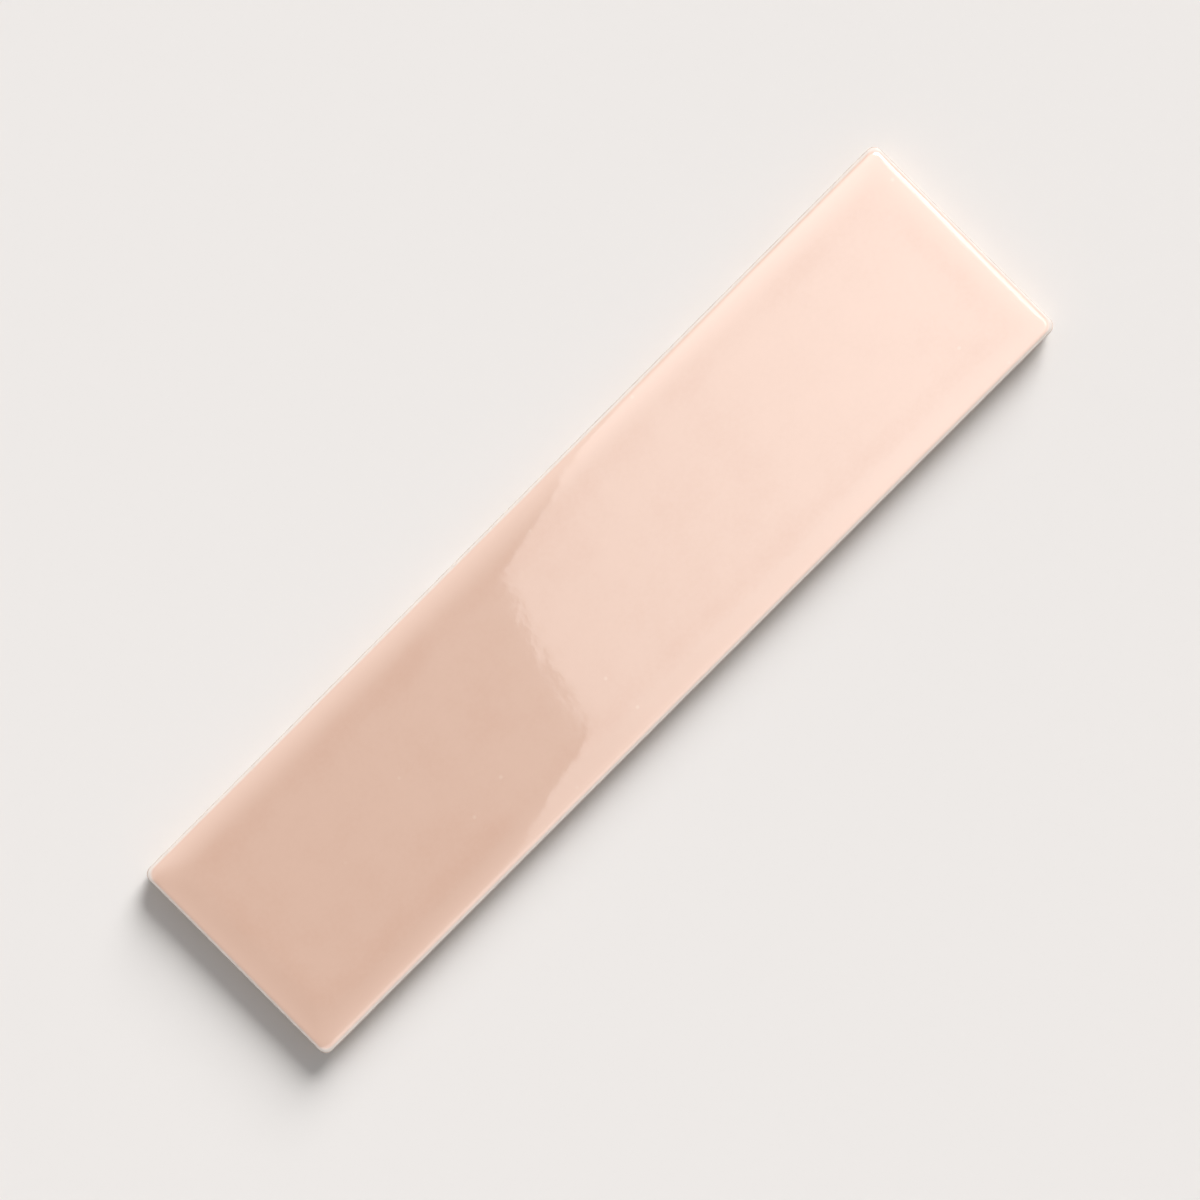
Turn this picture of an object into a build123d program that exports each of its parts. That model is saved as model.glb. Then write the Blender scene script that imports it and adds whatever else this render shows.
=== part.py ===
from build123d import *
import os

# Glazed wall tile: one pressed and fired piece, lying face up
# +X runs along the length, +Y across the width and +Z up out of the glazed face.
# The origin is the middle of the back, on the plane that the back's ribs bear on.
# All sizes are in millimetres.

# Overall
tile_length = 300.0
tile_width = 75.0
tile_thickness = 8.5
plan_corner_radius = 2.7

# Glazed face: a flat field that rolls down to the rim as a shallow cushion
cushion_reach = 12.0
cushion_drop = 0.8
hip_radius = 30.0
arris_radius = 2.0

# Sides: upright where two tiles face each other, then leaning in so that the joint opens downwards
lean_height = 3.2
lean_inset = 0.35
back_bevel = 0.5

# Back: a plain border round a grid of shallow keys for the adhesive
border_width = 6.0
key_pitch = 17.5
key_depth = 0.7
key_draft = 35.0
key_corner_radius = 3.5
rib_width = 2.5

rim_height = tile_thickness - cushion_drop

# Keys: as many as fit inside the border, with a rib across the middle of the length
keyed_length = tile_length - 2 * (lean_inset + border_width)
keyed_width = tile_width - 2 * (lean_inset + border_width)
keys_along = 2 * round((keyed_length + rib_width) / key_pitch / 2)
keys_across = round((keyed_width + rib_width) / key_pitch)
key_step_along = (keyed_length + rib_width) / keys_along
key_step_across = (keyed_width + rib_width) / keys_across

with BuildPart() as tile:
    Box(tile_length, tile_width, tile_thickness, align=(Align.CENTER, Align.CENTER, Align.MIN))

    # The face is cut by one cushioned section along the length and one across the width,
    # which meet in a mitred hip at each corner
    for plane, span, across in ((Plane.XZ, tile_length, tile_width), (Plane.YZ, tile_width, tile_length)):
        with BuildSketch(plane):
            with BuildLine():
                field = Line((0, tile_thickness), (span / 2 - cushion_reach, tile_thickness))
                cushion = TangentArc(field @ 1, (span / 2, rim_height), tangent=field % 1)
                Polyline(cushion @ 1, (span / 2, 0), (0, 0), (0, tile_thickness))
            make_face()
            mirror(about=Plane.YZ)
        extrude(amount=across, both=True, mode=Mode.INTERSECT)

    # Corners in plan, then the hips, then the arris that runs round the whole rim
    fillet(tile.edges().filter_by(Axis.Z), plan_corner_radius)
    fillet(tile.edges().filter_by(GeomType.ELLIPSE), hip_radius)
    rim = tile.edges().filter_by_position(Axis.Z, rim_height - cushion_drop / 2, rim_height + cushion_drop / 2)
    fillet(rim, arris_radius)

    # The lower part of the sides leans in, and the back edge is eased
    chamfer(tile.edges().group_by(Axis.Z)[0], length=lean_height, length2=lean_inset)
    chamfer(tile.edges().group_by(Axis.Z)[0], length=back_bevel)

    # Keys in the back, with drafted sides and rounded corners
    with BuildSketch():
        with GridLocations(key_step_along, key_step_across, keys_along, keys_across):
            RectangleRounded(key_step_along - rib_width, key_step_across - rib_width, key_corner_radius)
    extrude(amount=key_depth, taper=key_draft, mode=Mode.SUBTRACT)

tile.part.label = "tile"
os.makedirs("parts", exist_ok=True)
export_step(tile.part, "parts/tile.step")
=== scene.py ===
"""Glazed wall tile with a cushioned face, lying face up in a plain studio."""

import math
import bmesh
import bpy
from bpy.props import FloatProperty, FloatVectorProperty, IntProperty, PointerProperty
from mathutils import Matrix, Vector, noise


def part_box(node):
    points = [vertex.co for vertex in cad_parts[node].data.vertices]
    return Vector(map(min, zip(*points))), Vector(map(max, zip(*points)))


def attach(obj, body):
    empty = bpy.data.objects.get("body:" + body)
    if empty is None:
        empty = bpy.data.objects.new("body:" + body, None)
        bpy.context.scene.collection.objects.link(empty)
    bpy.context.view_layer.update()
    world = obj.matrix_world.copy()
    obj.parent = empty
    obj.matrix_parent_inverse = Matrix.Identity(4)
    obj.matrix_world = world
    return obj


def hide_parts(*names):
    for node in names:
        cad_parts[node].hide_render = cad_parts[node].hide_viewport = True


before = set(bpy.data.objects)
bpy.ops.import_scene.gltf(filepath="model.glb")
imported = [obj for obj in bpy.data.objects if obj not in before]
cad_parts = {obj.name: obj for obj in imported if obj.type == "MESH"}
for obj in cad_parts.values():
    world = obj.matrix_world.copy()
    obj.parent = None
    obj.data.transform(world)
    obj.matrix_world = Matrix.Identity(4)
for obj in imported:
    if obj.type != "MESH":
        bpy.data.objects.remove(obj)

bl_info = {
    "name": "Glazed Wall Tile",
    "version": (1, 0, 0),
    "blender": (4, 5, 0),
    "location": "View3D > Sidebar > Tile",
    "description": "Models one glazed wall tile with a cushioned face and a keyed back, and its studio",
    "category": "Object",
}

MM = 0.001
CAD_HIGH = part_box("tile")[1]
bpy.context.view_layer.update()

# Shares of its full depth that the glaze has at the foot of the arris and where the arris meets the cushion
SIDE_DEPTH = 0.28
RIM_DEPTH = 0.16
# Below 1, this moves the line where the glaze breaks from the middle of the arris towards the side, and with
# it the pale painted highlight that the break lays along the arris
BREAK_POWER = 0.9
# Depth that the glaze gains across the cushion, and the share of the cushion's reach by which it has it; the
# thinner, paler glaze before that is partly painted light on the rims
CUSHION_GAIN = 0.64
CUSHION_GAINED = 0.75
# Depth that gathers where the cushion ends, and the middle and spread of that line as shares of the reach
GATHERED_DEPTH = 0.10
GATHERED_AT = 0.95
GATHERED_SPREAD = 0.3
# Depth of the glaze at which each of its colours stands; the edge and thin tones are partly painted highlight
# and painted light on the rims
GLAZE_AND_RIM_LIGHT_TONES = ((0.02, "edge"), (0.16, "thin"), (0.8, "field"), (1.0, "pooled"))
# Share of the cells of the glaze that hold a pale fleck
FLECKED_CELLS = 0.16

# Waves of the face: how many quick ones go into a slow one, their middle, and what each kind adds to it
WAVE_RATIO = 2.7
WAVE_MIDDLE = 0.5
SLOW_WAVES = 0.38
QUICK_WAVES = 0.12
# Share of the waves' depth that is left at the rim, and the share of the reach that sets how fast it grows
RIM_WAVES = 0.25
RIM_GROWTH = 0.5
# Drips of the lap: how many quick ones go into a slow one, and their height against the slow one's
DRIP_RATIO = 3.1
DRIP_SHARE = 0.35
# Heights at which the noise is cut for the slow and quick waves, and for the slow and quick drips
WAVE_CUTS = (3.7, 9.2)
DRIP_CUTS = (1.3, 5.1)
# Share of their whole lean that the sides have where the eased edge of the back starts
FOOT_LEAN = 0.85
# Upright part of its normal from which a face of the back counts as flat
FLAT_NORMAL = 0.999

# The light tent that the glaze mirrors: for each wall its axis, the sines of the angles off the zenith
# between which its level sets in, and the setting that holds the level
TENT_WALLS = (
    ("X", -0.12, 0.03, "wall_glow"),
    ("X", -0.14, -0.30, "wall_open"),
    ("Y", 0.06, 0.28, "wall_upper"),
    ("Y", -0.17, -0.40, "wall_lower"),
)
# The strip lamp beyond the upper end, given in the same way along X and across Y
STRIP_ALONG = (0.31, 0.345)
STRIP_ACROSS = (0.35, 0.20)
# Sines of the heights between which the tent turns from plain white to its walls
TENT_HEIGHTS = (0.42, 0.62)
# Share of the panel's length over which it brightens from its near edge
PANEL_RISE = 0.33
# Shares of the panel's width between which it dims towards its lower side
PANEL_FALL = (0.42, 0.20)
# Share of its level that the panel keeps on that side
PANEL_LEFT = 0.15
# How far off the two sun lamps stand, in metres, which shows only in the 3D view
LAMP_DISTANCE = 2
# A count of bounces is compared with this to tell none from one or more
HALF_BOUNCE = 0.5


def linear(hex_colour):
    """An sRGB hex colour as the linear RGB that Blender works in."""
    channels = [int(hex_colour[place:place + 2], 16) / 255 for place in (1, 3, 5)]
    return tuple(c / 12.92 if c <= 0.04045 else ((c + 0.055) / 1.055) ** 2.4 for c in channels)


def length(name, description, millimetres):
    """A property that holds a length, given in millimetres and kept in metres."""
    return FloatProperty(
        name=name, description=description, default=millimetres * MM,
        subtype="DISTANCE", unit="LENGTH", precision=5,
    )


def angle(name, description, degrees):
    """A property that holds an angle, given in degrees and kept in radians."""
    return FloatProperty(name=name, description=description, default=math.radians(degrees), subtype="ANGLE")


def brightness(name, description, level, lowest=0):
    """A property that holds a brightness, as a multiple of white paper's."""
    return FloatProperty(name=name, description=description, default=level, min=lowest)


def colour(name, description, hex_colour):
    """A property that holds a colour, given as sRGB hex."""
    return FloatVectorProperty(
        name=name, description=description, default=linear(hex_colour), subtype="COLOR", size=3, min=0, max=1,
    )


class TileSize(bpy.types.PropertyGroup):
    """Sizes of the pressed body and of the glaze over it"""

    plan_corner_radius: length("Corner radius", "Radius of the four corners seen from above", 2.7)
    cushion_reach: length("Cushion reach", "How far in from the rim the face starts to roll down", 12.0)
    cushion_drop: length("Cushion drop", "How far the face has rolled down where it meets the rim", 0.8)
    hip_softening: length("Hip softening", "Added corner radius at the inner end of the mitred hips", 4.0)
    arris_radius: length("Arris radius", "Radius of the glazed edge between face and side", 2.0)
    wave_height: length("Wave height", "Depth of the slow waves that firing leaves in the face", 0.09)
    wave_length: length("Wave length", "Distance between two crests of those waves", 62.0)
    glaze_thickness: length("Glaze thickness", "How far the glaze stands proud of the bare body", 0.18)
    glaze_lap: length("Glaze lap", "Height above the back where the glaze on the sides ends", 3.5)
    lap_wander: length("Lap wander", "How far that lower edge of the glaze wanders up and down", 0.9)
    lap_wave: length("Lap wave", "Distance between two drips of that edge", 14.0)
    lean_inset: length("Lean inset", "How far the sides lean in towards the back", 0.35)
    back_bevel: length("Back bevel", "Eased edge between side and back", 0.5)
    border_width: length("Back border", "Plain border round the keys of the back", 6.0)
    key_pitch: length("Key pitch", "Aimed distance between the keys of the back", 17.5)
    key_depth: length("Key depth", "Depth of the keys", 0.7)
    key_corner_radius: length("Key corner radius", "Radius of the corners of a key", 3.5)
    key_draft: angle("Key draft", "Slope of the walls of a key", 35)
    rib_width: length("Rib width", "Width of the ribs between the keys", 2.5)
    field_step: length("Mesh step", "Side of one face of the mesh in the middle of the tile", 1.0)
    arris_steps: IntProperty(name="Arris steps", description="Faces round the arris", default=10, min=3)
    cushion_steps: IntProperty(
        name="Cushion steps", description="Faces across the cushion", default=14, min=4,
    )


class TileColours(bpy.types.PropertyGroup):
    """Colours of the glaze and of the bare body"""

    field: colour("Field", "Glaze where it lies at its full depth", "#DBB6A2")
    pooled: colour("Pooled", "Glaze where it gathers inside the cushion", "#D7AF9A")
    # Thin and edge are partly thin, broken glaze and partly painted light: they lighten the rims as light
    # catching them would, and edge paints a highlight along the arris
    thin: colour("Thin", "Glaze where it draws thin over the cushion", "#E5C1AE")
    edge: colour("Edge", "Glaze where it breaks over the arris and lets the pale body through", "#F5EAE2")
    fleck: colour("Fleck", "Pale flecks in the glaze", "#EBD6C6")
    body: colour("Body", "Bare fired body", "#EAE0D4")
    body_dark: colour("Body shade", "Darker patches of the bare body", "#D8C9B5")
    wash: colour("Kiln wash", "White dust that the kiln leaves on the ribs", "#F4F1EB")


class Studio(bpy.types.PropertyGroup):
    """The floor, the lamps and the camera"""

    frame_width: length("Frame width", "Width of floor that the camera sees", 350.0)
    camera_height: length("Camera height", "Height of the camera over the floor", 1150.0)
    floor_side: length("Floor side", "Side of the square floor", 8000.0)
    floor_colour: colour("Floor", "Pale warm grey of the floor and backdrop", "#EEEAE7")
    sun_height: angle("Sun height", "Height of the main lamp over the horizon", 55)
    sun_spread: angle("Sun spread", "Apparent width of the main lamp, which softens its highlight", 25)
    shadow_height: angle("Shadow lamp height", "Height of the low lamp that draws the tile's shadow", 26)
    shadow_spread: angle("Shadow lamp spread", "Apparent width of that lamp, which softens the shadow", 34)
    sun_bearing: angle("Sun bearing", "Bearing of both lamps, turned from the length of the tile", 22)
    sun_level: brightness("Sun level", "How bright each of the two lamps makes level white paper", 0.64)
    fill_level: brightness("Fill level", "How bright the light from all round makes white paper", 0.36)
    panel_height: length("Panel height", "Height of the light panel that the glaze mirrors", 1200.0)
    panel_length: length("Panel length", "Length of the light panel, away from its mirrored edge", 900.0)
    panel_width: length("Panel width", "Width of the light panel", 1500.0)
    panel_edge: length("Panel edge", "Where on the tile the near edge of the panel is mirrored", -21.0)
    panel_turn: angle("Panel turn", "Turn of the panel from the length of the tile", -18)
    panel_dim: brightness("Panel near edge", "Brightness of the panel at its near edge", 2.6)
    panel_bright: brightness("Panel body", "Brightness of the panel past its near part", 5.7)
    strip_lamp: brightness("Strip lamp", "Brightness past white of the strip lamp beyond the upper end", 6.5)
    wall_glow: brightness("Glow", "Brightness that the tent gains towards the panel's near edge", 1.4)
    wall_upper: brightness("Upper side wall", "Brightness past white of the wall at the upper side", 2.3)
    wall_lower: brightness("Lower side wall", "Brightness past white of the wall at the lower side", 4.2)
    wall_open: brightness("Open end", "How far the open end of the tent falls below white", -0.9, lowest=-1)


def add(tree, kind, inputs=None, **settings):
    """Adds a node, sets its properties and gives its inputs their values or links."""
    node = tree.nodes.new(kind)
    for name, value in settings.items():
        setattr(node, name, value)
    for name, value in (inputs or {}).items():
        if isinstance(value, bpy.types.NodeSocket):
            tree.links.new(value, node.inputs[name])
        else:
            node.inputs[name].default_value = value
    return node


def start_material(name):
    """An empty material: its node tree, its Object coordinates and its shader."""
    material = bpy.data.materials.new(name)
    material.use_nodes = True
    tree = material.node_tree
    tree.nodes.clear()
    place = add(tree, "ShaderNodeTexCoord").outputs["Object"]
    shader = add(tree, "ShaderNodeBsdfPrincipled")
    add(tree, "ShaderNodeOutputMaterial", {"Surface": shader.outputs["BSDF"]})
    return material, tree, place, shader


def glossy_glaze(colours):
    """Opaque gloss glaze, poured in a waterfall and fired once over a pale body.

    It runs thin and pale over the edges, partly as painted light on the rims and a painted highlight on the
    arris, gathers a little darker inside the cushion, has faint milky clouds and the fine ripple that breaks
    the edge of every reflection.
    """
    material, tree, place, shader = start_material("opaque_gloss_glaze")
    depth = add(tree, "ShaderNodeAttribute", attribute_name="glaze_depth").outputs["Fac"]

    # Clouds about 18 mm across, and a grain about 1.5 mm across
    clouds = add(tree, "ShaderNodeTexNoise", {"Vector": place, "Scale": 1 / (18 * MM), "Detail": 3.0})
    grain = add(tree, "ShaderNodeTexNoise", {"Vector": place, "Scale": 1 / (1.5 * MM), "Detail": 2.0})
    cloudy = add(tree, "ShaderNodeMapRange", {
        "Value": clouds.outputs["Fac"], "From Min": 0.3, "From Max": 0.7, "To Min": -0.10, "To Max": 0.10,
    })
    grainy = add(tree, "ShaderNodeMapRange", {
        "Value": grain.outputs["Fac"], "From Min": 0.3, "From Max": 0.7, "To Min": -0.035, "To Max": 0.035,
    })
    uneven = add(tree, "ShaderNodeMath", {
        0: cloudy.outputs["Result"], 1: grainy.outputs["Result"],
    }, operation="ADD")
    depth_here = add(tree, "ShaderNodeMath", {
        0: uneven.outputs["Value"], 1: depth, 2: depth,
    }, operation="MULTIPLY_ADD")
    ramp = add(tree, "ShaderNodeValToRGB", {"Fac": depth_here.outputs["Value"]})
    stops = ramp.color_ramp.elements
    for number, (position, tone) in enumerate(GLAZE_AND_RIM_LIGHT_TONES):
        stop = stops[number] if number < len(stops) else stops.new(position)
        stop.position = position
        stop.color = (*getattr(colours, tone), 1)

    # Flecks about 1 mm across, in about one cell of 7 mm in six
    cells = add(tree, "ShaderNodeTexVoronoi", {"Vector": place, "Scale": 1 / (7 * MM)})
    near = add(tree, "ShaderNodeMapRange", {
        "Value": cells.outputs["Distance"], "From Min": 0.03, "From Max": 0.11, "To Min": 0.32, "To Max": 0.0,
    })
    chosen = add(tree, "ShaderNodeSeparateColor", {"Color": cells.outputs["Color"]})
    some = add(tree, "ShaderNodeMath", {
        0: chosen.outputs["Red"], 1: 1 - FLECKED_CELLS,
    }, operation="GREATER_THAN")
    fleck = add(tree, "ShaderNodeMath", {
        0: near.outputs["Result"], 1: some.outputs["Value"],
    }, operation="MULTIPLY")
    flecked = add(tree, "ShaderNodeMix", {
        0: fleck.outputs["Value"], 6: ramp.outputs["Color"], 7: (*colours.fleck, 1),
    }, data_type="RGBA")

    # Ripple about 5 mm from crest to crest over a slower one of 14 mm, a few thousandths of a millimetre high
    slow_share = 0.8
    fine_share = 0.62
    slow = add(tree, "ShaderNodeTexNoise", {"Vector": place, "Scale": 1 / (14 * MM), "Detail": 1.0})
    fine = add(tree, "ShaderNodeTexNoise", {"Vector": place, "Scale": 1 / (5 * MM), "Detail": 2.0})
    fine_part = add(tree, "ShaderNodeMath", {0: fine.outputs["Fac"], 1: fine_share}, operation="MULTIPLY")
    ripple = add(tree, "ShaderNodeMath", {
        0: slow.outputs["Fac"], 1: slow_share, 2: fine_part.outputs["Value"],
    }, operation="MULTIPLY_ADD")
    bump = add(tree, "ShaderNodeBump", {
        "Height": ripple.outputs["Value"], "Distance": 0.022 * MM, "Strength": 1.0,
    })

    tree.links.new(flecked.outputs[2], shader.inputs["Base Color"])
    tree.links.new(bump.outputs["Normal"], shader.inputs["Normal"])
    shader.inputs["Roughness"].default_value = 0.045
    shader.inputs["IOR"].default_value = 1.52
    return material


def bisque_body(colours):
    """Dry-pressed bisque body, fired and left bare: chalky, faintly mottled and finely grained.

    White kiln wash is rubbed onto the ribs, which is the plane that the tile rode the rollers on.
    """
    material, tree, place, shader = start_material("pressed_bisque_body")

    # Mottling about 25 mm across, and grog about 0.8 mm across
    mottle = add(tree, "ShaderNodeTexNoise", {"Vector": place, "Scale": 1 / (25 * MM), "Detail": 4.0})
    grog = add(tree, "ShaderNodeTexNoise", {"Vector": place, "Scale": 1 / (0.8 * MM), "Detail": 3.0})
    patch = add(tree, "ShaderNodeMapRange", {
        "Value": mottle.outputs["Fac"], "From Min": 0.35, "From Max": 0.7,
    })
    speck = add(tree, "ShaderNodeMapRange", {
        "Value": grog.outputs["Fac"], "From Min": 0.62, "From Max": 0.75, "To Min": 0.0, "To Max": 0.6,
    })
    shade = add(tree, "ShaderNodeMath", {
        0: patch.outputs["Result"], 1: speck.outputs["Result"],
    }, operation="MAXIMUM")
    body = add(tree, "ShaderNodeMix", {
        0: shade.outputs["Value"], 6: (*colours.body, 1), 7: (*colours.body_dark, 1),
    }, data_type="RGBA")

    # Kiln wash lies only within 0.1 mm of the plane of the ribs, and is worn in streaks 6 mm wide
    height = add(tree, "ShaderNodeSeparateXYZ", {"Vector": place})
    on_ribs = add(tree, "ShaderNodeMapRange", {
        "Value": height.outputs["Z"], "From Min": 0.02 * MM, "From Max": 0.12 * MM,
        "To Min": 1.0, "To Max": 0.0,
    })
    drawn_out = add(tree, "ShaderNodeMapping", {"Vector": place, "Scale": (0.2, 1.0, 1.0)})
    streaks = add(tree, "ShaderNodeTexNoise", {
        "Vector": drawn_out.outputs["Vector"], "Scale": 1 / (6 * MM), "Detail": 4.0,
    })
    worn = add(tree, "ShaderNodeMapRange", {
        "Value": streaks.outputs["Fac"], "From Min": 0.42, "From Max": 0.62, "To Min": 0.0, "To Max": 0.75,
    })
    wash = add(tree, "ShaderNodeMath", {
        0: on_ribs.outputs["Result"], 1: worn.outputs["Result"],
    }, operation="MULTIPLY")
    dusted = add(tree, "ShaderNodeMix", {
        0: wash.outputs["Value"], 6: body.outputs[2], 7: (*colours.wash, 1),
    }, data_type="RGBA")

    # Pressed grain, about 0.1 mm deep
    bump = add(tree, "ShaderNodeBump", {"Height": grog.outputs["Fac"], "Distance": 0.2 * MM, "Strength": 1.0})

    tree.links.new(dusted.outputs[2], shader.inputs["Base Color"])
    tree.links.new(bump.outputs["Normal"], shader.inputs["Normal"])
    shader.inputs["Roughness"].default_value = 0.88
    shader.inputs["IOR"].default_value = 1.5
    return material


class FaceForm:
    """The form of the glazed face: its height and its rounding by the distance in from the rim."""

    def __init__(self, size, top):
        self.size = size
        self.top = top
        reach, drop, arris = size.cushion_reach, size.cushion_drop, size.arris_radius
        self.cushion_radius = (reach ** 2 + drop ** 2) / (2 * drop)
        self.cushion_centre = top - self.cushion_radius
        # The arris is a circle that touches the side and, from inside, the circle of the cushion
        apart = self.cushion_radius - arris
        self.arris_centre = self.cushion_centre + math.sqrt(apart ** 2 - (reach - arris) ** 2)
        self.arris_inset = reach - self.cushion_radius * (reach - arris) / apart
        self.arris_turn = math.acos(1 - self.arris_inset / arris)

    def insets(self):
        """How far in from the rim the grid lines lie that follow the arris and the cushion."""
        size, arris = self.size, self.size.arris_radius
        turns = [self.arris_turn * step / size.arris_steps for step in range(size.arris_steps)]
        across = size.cushion_reach - self.arris_inset
        return [arris * (1 - math.cos(turn)) for turn in turns] + [
            self.arris_inset + across * step / size.cushion_steps for step in range(size.cushion_steps)
        ]

    def height(self, inset):
        """Height of the true face at a distance in from the rim."""
        reach, arris = self.size.cushion_reach, self.size.arris_radius
        if inset >= reach:
            return self.top
        if inset >= self.arris_inset:
            return self.cushion_centre + math.sqrt(self.cushion_radius ** 2 - (reach - inset) ** 2)
        return self.arris_centre + math.sqrt(max(arris ** 2 - (arris - inset) ** 2, 0))

    def corner_radius(self, inset):
        """Corner radius in plan of the line that runs round the tile at a distance in from the rim."""
        inward = inset / self.size.cushion_reach
        eased = self.size.plan_corner_radius + self.size.hip_softening * min(inward, 1)
        return eased * max(0, min(1, 2 - inward / 2))

    def round_corner(self, inset_x, inset_y):
        """Moves a crossing of the straight grid, given by its two insets, onto the rounded line."""
        ring = min(inset_x, inset_y)
        run = abs(inset_x - inset_y)
        radius = self.corner_radius(ring)
        if run >= radius:
            return inset_x, inset_y
        turn = math.pi / 4 * (1 - run / radius)
        near = ring + radius * (1 - math.cos(turn))
        far = ring + radius * (1 - math.sin(turn))
        return (near, far) if inset_x <= inset_y else (far, near)

    def dip(self, x, y, inset):
        """How far the fired face lies below the true one: slow waves that die down towards the rim."""
        wave = self.size.wave_length
        slow = noise.noise(Vector((x / wave, y / wave, WAVE_CUTS[0])))
        quick = noise.noise(Vector((x / wave * WAVE_RATIO, y / wave * WAVE_RATIO, WAVE_CUTS[1])))
        swell = WAVE_MIDDLE + SLOW_WAVES * slow + QUICK_WAVES * quick
        fade = min(1, RIM_WAVES + inset / (RIM_GROWTH * self.size.cushion_reach))
        return self.size.wave_height * max(0, swell) * fade

    def glaze_depth(self, inset):
        """Share of its full depth that the glaze has at a distance in from the rim.

        It breaks over the arris, thickens across the cushion and gathers a little where that ends.
        The pale break and the thin glaze at the rim are partly painted: a highlight on the arris and light on
        the rims.
        """
        reach, arris = self.size.cushion_reach, self.size.arris_radius
        round_arris = math.acos(1 - min(inset, self.arris_inset) / arris) / self.arris_turn
        edge_depth = SIDE_DEPTH + (RIM_DEPTH - SIDE_DEPTH) * round_arris
        rise = min(1, inset / (CUSHION_GAINED * reach))
        smooth = rise * rise * (3 - 2 * rise)
        gathered = math.exp(-(((inset - GATHERED_AT * reach) / (GATHERED_SPREAD * reach)) ** 2))
        # Pale break on the arris, partly real broken glaze and partly a painted highlight
        broken_and_highlit = math.cos(math.pi * round_arris ** BREAK_POWER) ** 2
        return edge_depth * broken_and_highlit + CUSHION_GAIN * smooth + GATHERED_DEPTH * gathered


def grid_lines(half_span, insets, step):
    """Where the lines of a grid lie across a span: close together near both rims and even between."""
    inner = half_span - insets[-1] - (insets[-1] - insets[-2])
    count = max(2, round(2 * inner / step))
    middle = [-inner + 2 * inner * number / count for number in range(count + 1)]
    low_rim = [inset - half_span for inset in insets]
    high_rim = [half_span - inset for inset in reversed(insets)]
    return low_rim + middle + high_rim


def make_face(mesh, form, half_length, half_width):
    """The glazed face down to the foot of the arris, as one grid. Returns the depth layer of its vertices."""
    size = form.size
    insets = form.insets()
    along = grid_lines(half_length, insets, size.field_step)
    across = grid_lines(half_width, insets, size.field_step)
    bmesh.ops.create_grid(mesh, x_segments=len(along) - 1, y_segments=len(across) - 1, size=0.5)
    depth = mesh.verts.layers.float.new("glaze_depth")
    for vertex in mesh.verts:
        straight_x = along[round((vertex.co.x + 0.5) * (len(along) - 1))]
        straight_y = across[round((vertex.co.y + 0.5) * (len(across) - 1))]
        inset_x, inset_y = half_length - abs(straight_x), half_width - abs(straight_y)
        inset = min(inset_x, inset_y)
        inset_x, inset_y = form.round_corner(inset_x, inset_y)
        x = math.copysign(half_length - inset_x, straight_x)
        y = math.copysign(half_width - inset_y, straight_y)
        vertex.co = (x, y, form.height(inset) - form.dip(x, y, inset))
        vertex[depth] = form.glaze_depth(inset)
    return depth


def outward(point, half_length, half_width, radius):
    """The direction in plan that the outline faces at a point on it."""
    core = Vector((
        max(-half_length + radius, min(half_length - radius, point.x)),
        max(-half_width + radius, min(half_width - radius, point.y)),
    ))
    return (point.xy - core).normalized()


def side_rings(size):
    """The lines round the sides from the arris down: the glazed ones and those of the bare body.

    Each holds its inset, its height and its share of the lap's wander, and the glazed ones their glaze depth.
    """
    glaze, lap, lean, foot = size.glaze_thickness, size.glaze_lap, size.lean_inset, size.back_bevel
    foot_inset = glaze + lean * FOOT_LEAN
    glazed = [
        (0.0, lap + 2.0 * MM, 0.05, SIDE_DEPTH),
        (0.0, lap + 1.3 * MM, 0.6, 0.6),
        (0.0, lap + 0.5 * MM, 1.0, 0.8),
        (0.0, lap + 0.25 * MM, 1.0, 0.9),
        (0.15 * glaze, lap + 0.08 * MM, 1.0, 0.9),
        (0.5 * glaze, lap - 0.6 * glaze, 1.0, 0.8),
        (0.95 * glaze, lap - 1.2 * glaze, 1.0, 0.6),
    ]
    body = [
        (glaze, lap - 1.6 * glaze, 1.0),
        (glaze + lean * 0.15, 0.72 * lap, 0.72),
        (glaze + lean * 0.4, 0.45 * lap, 0.4),
        (glaze + lean * 0.65, 0.28 * lap, 0.12),
        (foot_inset, foot, 0.0),
        (foot_inset + 0.1 * foot, 0.5 * foot, 0.0),
        (foot_inset + 0.4 * foot, 0.12 * foot, 0.0),
        (foot_inset + 0.9 * foot, 0.0, 0.0),
        (foot_inset + 2.0 * foot, 0.0, 0.0),
    ]
    return glazed, body


def make_sides(mesh, size, depth, half_length, half_width):
    """The sides: glaze down to its wandering lower edge, then the bare body in to the back.

    Returns the last line round them.
    """
    glazed, body = side_rings(size)
    rings = [(*ring, 0) for ring in glazed] + [(*ring, 0.0, 1) for ring in body]
    line = [edge for edge in mesh.edges if edge.is_boundary]
    inset_before = 0.0
    for inset, height, share, depth_here, slot in rings:
        made = bmesh.ops.extrude_edge_only(mesh, edges=line)["geom"]
        line = [item for item in made if isinstance(item, bmesh.types.BMEdge) and item.is_boundary]
        for face in (item for item in made if isinstance(item, bmesh.types.BMFace)):
            face.material_index = slot
        for vertex in {end for edge in line for end in edge.verts}:
            facing = outward(vertex.co, half_length, half_width, size.plan_corner_radius)
            rim = vertex.co.xy + facing * inset_before
            wander = noise.noise(Vector((*(rim / size.lap_wave), DRIP_CUTS[0])))
            wander += DRIP_SHARE * noise.noise(Vector((*(rim / size.lap_wave * DRIP_RATIO), DRIP_CUTS[1])))
            vertex.co = (*(rim - facing * inset), height + size.lap_wander * wander * share)
            vertex[depth] = depth_here
        inset_before = inset
    return line


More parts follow.
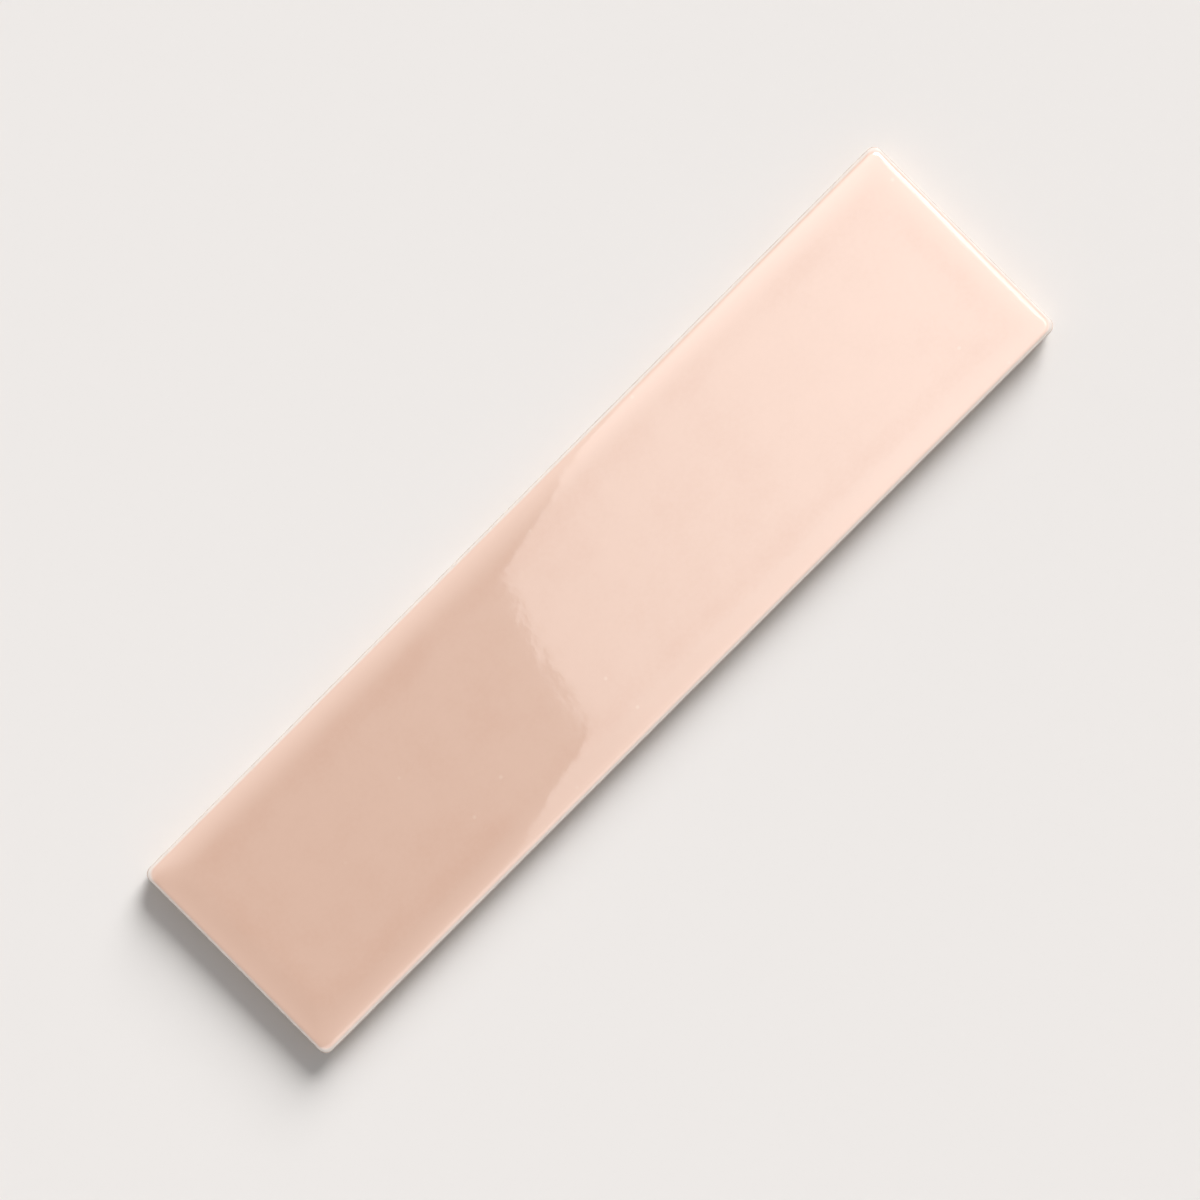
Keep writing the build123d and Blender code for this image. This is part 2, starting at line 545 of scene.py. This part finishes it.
def make_key(mesh, size, step_x, step_y):
    """One cell of the back, facing down at the origin: a frame of rib round one drafted key."""
    rise = math.tan(size.key_draft)
    ease = 0.12 * MM
    cell = bmesh.ops.create_grid(
        mesh, x_segments=1, y_segments=1, size=0.5, matrix=Matrix.Diagonal((step_x, step_y, 1, 1)),
    )["verts"]
    frame_edges = list({edge for vertex in cell for edge in vertex.link_edges})
    bmesh.ops.delete(mesh, geom=list(cell[0].link_faces), context="FACES_ONLY")
    corners = bmesh.ops.create_grid(
        mesh, x_segments=1, y_segments=1, size=0.5,
        matrix=Matrix.Diagonal((step_x - size.rib_width, step_y - size.rib_width, 1, 1)),
    )["verts"]
    bmesh.ops.bevel(
        mesh, geom=corners, offset=size.key_corner_radius, offset_type="OFFSET", segments=6, profile=0.5,
        affect="VERTICES", material=-1,
    )
    key = next(iter(mesh.faces))
    key.normal_flip()
    bmesh.ops.triangle_fill(mesh, edges=frame_edges + list(key.edges), use_beauty=True)
    # Eased rim, drafted wall and eased foot
    for thickness, depth in (
        (ease, ease / 3),
        (size.key_depth * rise - ease, size.key_depth - ease),
        (ease * 2, ease),
    ):
        bmesh.ops.inset_individual(mesh, faces=[key], thickness=thickness, depth=-depth, use_even_offset=True)


def make_back(mesh, size, half_length, half_width, last_line):
    """The back: a grid of keys inside a plain border, joined to the foot of the sides."""
    inset = size.lean_inset + size.border_width
    keyed_x, keyed_y = 2 * (half_length - inset), 2 * (half_width - inset)
    count_x = 2 * round((keyed_x + size.rib_width) / size.key_pitch / 2)
    count_y = round((keyed_y + size.rib_width) / size.key_pitch)
    step_x, step_y = (keyed_x + size.rib_width) / count_x, (keyed_y + size.rib_width) / count_y

    keys = bmesh.new()
    make_key(keys, size, step_x, step_y)
    one = list(keys.verts) + list(keys.edges) + list(keys.faces)
    for number in range(1, count_x * count_y):
        column, row = number % count_x, number // count_x
        copy = bmesh.ops.duplicate(keys, geom=one)["geom"]
        bmesh.ops.translate(
            keys, verts=[item for item in copy if isinstance(item, bmesh.types.BMVert)],
            vec=(column * step_x, row * step_y, 0),
        )
    bmesh.ops.remove_doubles(keys, verts=keys.verts, dist=0.01 * MM)
    bmesh.ops.translate(
        keys, verts=keys.verts, vec=(-(count_x - 1) * step_x / 2, -(count_y - 1) * step_y / 2, 0),
    )
    holder = bpy.data.meshes.new("keys")
    keys.to_mesh(holder)
    keys.free()

    before = set(mesh.faces)
    mesh.from_mesh(holder)
    bpy.data.meshes.remove(holder)
    for face in mesh.faces:
        if face not in before:
            face.material_index = 1
    inner_line = [edge for edge in mesh.edges if edge.is_boundary and edge not in set(last_line)]
    border = bmesh.ops.triangle_fill(mesh, edges=last_line + inner_line, use_beauty=True)["geom"]
    for face in (item for item in border if isinstance(item, bmesh.types.BMFace)):
        face.material_index = 1


class TILE_OT_glazed_tile(bpy.types.Operator):
    """Model the glazed tile in place of the plain one"""

    bl_idname = "tile.glazed_tile"
    bl_label = "Glazed tile"

    def execute(self, context):
        size, colours = context.scene.tile_size, context.scene.tile_colours
        half_length, half_width, top = CAD_HIGH
        mesh = bmesh.new()
        depth = make_face(mesh, FaceForm(size, top), half_length, half_width)
        last_line = make_sides(mesh, size, depth, half_length, half_width)
        make_back(mesh, size, half_length, half_width, last_line)
        bmesh.ops.recalc_face_normals(mesh, faces=mesh.faces)
        # The ribs, the border and the floors of the keys are flat, and all the rest is shaded smooth
        for face in mesh.faces:
            face.smooth = len(face.verts) == 4 or abs(face.normal.z) < FLAT_NORMAL
        data = bpy.data.meshes.new("glazed_tile")
        mesh.to_mesh(data)
        mesh.free()
        data.materials.append(glossy_glaze(colours))
        data.materials.append(bisque_body(colours))
        piece = bpy.data.objects.new("glazed_tile", data)
        context.collection.objects.link(piece)
        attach(piece, "root")
        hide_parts("tile")
        return {"FINISHED"}


def floor_paint(floor_colour):
    """Matt floor paint, sprayed and even, so that only the tile's soft shadow marks it."""
    material, _, _, shader = start_material("matt_floor_paint")
    shader.inputs["Base Color"].default_value = (*floor_colour, 1)
    shader.inputs["Roughness"].default_value = 1.0
    shader.inputs["Specular IOR Level"].default_value = 0.0
    return material


def backdrop(scene, studio):
    """Pale surroundings: seen and mirrored at full strength, and dimmer as light that fills the shadows."""
    world = bpy.data.worlds.new("pale_surroundings")
    world.use_nodes = True
    tree = world.node_tree
    tree.nodes.clear()
    path = add(tree, "ShaderNodeLightPath")
    seen = add(tree, "ShaderNodeMath", {
        0: path.outputs["Is Camera Ray"], 1: path.outputs["Is Glossy Ray"],
    }, operation="MAXIMUM")
    either = add(tree, "ShaderNodeMath", {
        0: seen.outputs["Value"], 1: path.outputs["Is Transmission Ray"],
    }, operation="MAXIMUM")
    fill = add(tree, "ShaderNodeBackground", {"Color": (1, 1, 1, 1), "Strength": studio.fill_level})

    direction = add(tree, "ShaderNodeTexCoord").outputs["Generated"]
    parts = add(tree, "ShaderNodeSeparateXYZ", {"Vector": direction})
    level = 1.0
    for axis, start, full, setting in TENT_WALLS:
        lit = add(tree, "ShaderNodeMapRange", {
            "Value": parts.outputs[axis], "From Min": start, "From Max": full,
            "To Min": 0.0, "To Max": getattr(studio, setting),
        }, interpolation_type="SMOOTHSTEP")
        raised = add(tree, "ShaderNodeMath", {0: lit.outputs["Result"], 1: level}, operation="ADD")
        level = raised.outputs["Value"]
    along = add(tree, "ShaderNodeMapRange", {
        "Value": parts.outputs["X"], "From Min": STRIP_ALONG[0], "From Max": STRIP_ALONG[1],
        "To Max": studio.strip_lamp,
    }, interpolation_type="SMOOTHSTEP")
    sideways = add(tree, "ShaderNodeMath", {0: parts.outputs["Y"]}, operation="ABSOLUTE")
    across = add(tree, "ShaderNodeMapRange", {
        "Value": sideways.outputs["Value"], "From Min": STRIP_ACROSS[0], "From Max": STRIP_ACROSS[1],
    }, interpolation_type="SMOOTHSTEP")
    with_strip = add(tree, "ShaderNodeMath", {
        0: along.outputs["Result"], 1: across.outputs["Result"], 2: level,
    }, operation="MULTIPLY_ADD")
    high = add(tree, "ShaderNodeMapRange", {
        "Value": parts.outputs["Z"], "From Min": TENT_HEIGHTS[0], "From Max": TENT_HEIGHTS[1],
    }, interpolation_type="SMOOTHSTEP")
    tent = add(tree, "ShaderNodeMix", {
        0: high.outputs["Result"], 2: 1.0, 3: with_strip.outputs["Value"],
    }, data_type="FLOAT")
    shown = add(tree, "ShaderNodeBackground", {
        "Color": (*studio.floor_colour, 1), "Strength": tent.outputs[0],
    })
    # What the glaze mirrors onto the floor counts as fill, so that no bright patch lies beside the tile
    straight = add(tree, "ShaderNodeMath", {
        0: path.outputs["Diffuse Depth"], 1: HALF_BOUNCE,
    }, operation="LESS_THAN")
    choice = add(tree, "ShaderNodeMath", {
        0: either.outputs["Value"], 1: straight.outputs["Value"],
    }, operation="MULTIPLY")
    mixed = add(tree, "ShaderNodeMixShader", {
        0: choice.outputs["Value"], 1: fill.outputs["Background"], 2: shown.outputs["Background"],
    })
    add(tree, "ShaderNodeOutputWorld", {"Surface": mixed.outputs["Shader"]})
    scene.world = world


def add_lamp(context, name, kind, place, towards_light, **settings):
    """Adds a lamp at a place, with its back to the direction that its light comes from."""
    lamp = bpy.data.lights.new(name, kind)
    for key, value in settings.items():
        setattr(lamp, key, value)
    holder = bpy.data.objects.new(name, lamp)
    holder.location = place
    holder.rotation_euler = Vector(towards_light).to_track_quat("Z", "Y").to_euler()
    context.collection.objects.link(holder)
    return holder


def make_floor(context, studio):
    """The square floor."""
    mesh = bmesh.new()
    bmesh.ops.create_grid(mesh, x_segments=1, y_segments=1, size=studio.floor_side / 2)
    data = bpy.data.meshes.new("floor")
    mesh.to_mesh(data)
    mesh.free()
    data.materials.append(floor_paint(studio.floor_colour))
    floor = bpy.data.objects.new("floor", data)
    context.collection.objects.link(floor)
    return floor


def hang_suns(context, studio, floor):
    """The main lamp on the tile, and a lower one of the same level and bearing that reaches the floor alone.

    The first gives the glaze its highlight, and the second draws the tile's long soft shadow.
    """
    bearing = studio.sun_bearing
    for name, height, spread, floor_link in (
        ("main_lamp", studio.sun_height, studio.sun_spread, "EXCLUDE"),
        ("shadow_lamp", studio.shadow_height, studio.shadow_spread, "INCLUDE"),
    ):
        flat = math.cos(height)
        towards = (flat * math.cos(bearing), flat * math.sin(bearing), math.sin(height))
        lamp = add_lamp(
            context, name, "SUN", Vector(towards) * LAMP_DISTANCE, towards, angle=spread,
            energy=math.pi * studio.sun_level / math.sin(height),
        )
        reach = bpy.data.collections.new(name + "_reach")
        reach.objects.link(floor)
        reach.collection_objects[0].light_linking.link_state = floor_link
        lamp.light_linking.receiver_collection = reach


def hang_panel(context, studio):
    """The light panel overhead, whose near edge the glaze mirrors across the middle of the tile."""
    # A point of the panel is mirrored this many times nearer the middle of the tile than it hangs
    mirrored = 1 + studio.panel_height / studio.camera_height
    away = Vector((math.cos(studio.panel_turn), math.sin(studio.panel_turn), 0))
    middle = away * (studio.panel_edge * mirrored + studio.panel_length / 2)
    area = studio.panel_length * studio.panel_width
    # At this power a strength of 1 is as bright as white paper
    panel = add_lamp(
        context, "overhead_panel", "AREA", middle + Vector((0, 0, studio.panel_height)), (0, 0, 1),
        shape="RECTANGLE", size=studio.panel_length, size_y=studio.panel_width, energy=math.pi * area,
    )
    panel.rotation_euler.z = studio.panel_turn
    panel.visible_diffuse = False
    panel.data.use_nodes = True
    tree = panel.data.node_tree
    tree.nodes.clear()
    lamp_face = add(tree, "ShaderNodeNewGeometry").outputs["Parametric"]
    place = add(tree, "ShaderNodeSeparateXYZ", {"Vector": lamp_face})
    level = add(tree, "ShaderNodeMapRange", {
        "Value": place.outputs["X"], "From Max": PANEL_RISE,
        "To Min": studio.panel_dim, "To Max": studio.panel_bright,
    })
    fall = add(tree, "ShaderNodeMapRange", {
        "Value": place.outputs["Y"], "From Min": PANEL_FALL[0], "From Max": PANEL_FALL[1],
        "To Min": 1.0, "To Max": PANEL_LEFT,
    }, interpolation_type="SMOOTHSTEP")
    shaped = add(tree, "ShaderNodeMath", {
        0: level.outputs["Result"], 1: fall.outputs["Result"],
    }, operation="MULTIPLY")
    # Only the camera's own look at the glaze meets the panel, so the glaze throws none of it on the floor
    path = add(tree, "ShaderNodeLightPath")
    straight = add(tree, "ShaderNodeMath", {
        0: path.outputs["Diffuse Depth"], 1: HALF_BOUNCE,
    }, operation="LESS_THAN")
    kept = add(tree, "ShaderNodeMath", {
        0: shaped.outputs["Value"], 1: straight.outputs["Value"],
    }, operation="MULTIPLY")
    light = add(tree, "ShaderNodeEmission", {"Strength": kept.outputs["Value"]})
    add(tree, "ShaderNodeOutputLight", {"Surface": light.outputs["Emission"]})


def place_camera(context, studio):
    """The camera, which looks straight down with the length of the tile across its frame at 45 degrees."""
    camera = bpy.data.cameras.new("camera")
    camera.lens = camera.sensor_width * studio.camera_height / studio.frame_width
    holder = bpy.data.objects.new("camera", camera)
    holder.location = (0, 0, studio.camera_height)
    holder.rotation_euler = (0, 0, -math.pi / 4)
    context.collection.objects.link(holder)
    context.scene.camera = holder


class TILE_OT_studio(bpy.types.Operator):
    """Set up the floor, the lamps and the camera that looks straight down on the tile"""

    bl_idname = "tile.studio"
    bl_label = "Studio"

    def execute(self, context):
        scene = context.scene
        studio = scene.tile_studio
        scene.view_settings.view_transform = "Standard"
        backdrop(scene, studio)
        floor = make_floor(context, studio)
        hang_suns(context, studio, floor)
        hang_panel(context, studio)
        place_camera(context, studio)
        return {"FINISHED"}


class TILE_PT_sidebar(bpy.types.Panel):
    """Buttons and settings of the tile"""

    bl_idname = "TILE_PT_sidebar"
    bl_label = "Glazed Wall Tile"
    bl_space_type = "VIEW_3D"
    bl_region_type = "UI"
    bl_category = "Tile"

    def draw(self, context):
        scene = context.scene
        for operator in (TILE_OT_studio, TILE_OT_glazed_tile):
            self.layout.operator(operator.bl_idname)
        for group in (scene.tile_size, scene.tile_colours, scene.tile_studio):
            box = self.layout.box()
            for name in group.bl_rna.properties.keys():
                if name not in ("rna_type", "name"):
                    box.prop(group, name)


CLASSES = (TileSize, TileColours, Studio, TILE_OT_glazed_tile, TILE_OT_studio, TILE_PT_sidebar)
GROUPS = {"tile_size": TileSize, "tile_colours": TileColours, "tile_studio": Studio}


def register():
    for item in CLASSES:
        bpy.utils.register_class(item)
    for name, group in GROUPS.items():
        setattr(bpy.types.Scene, name, PointerProperty(type=group))


def unregister():
    for name in GROUPS:
        delattr(bpy.types.Scene, name)
    for item in reversed(CLASSES):
        bpy.utils.unregister_class(item)


def main():
    register()
    bpy.ops.tile.studio()
    bpy.ops.tile.glazed_tile()


if __name__ == "__main__":
    main()
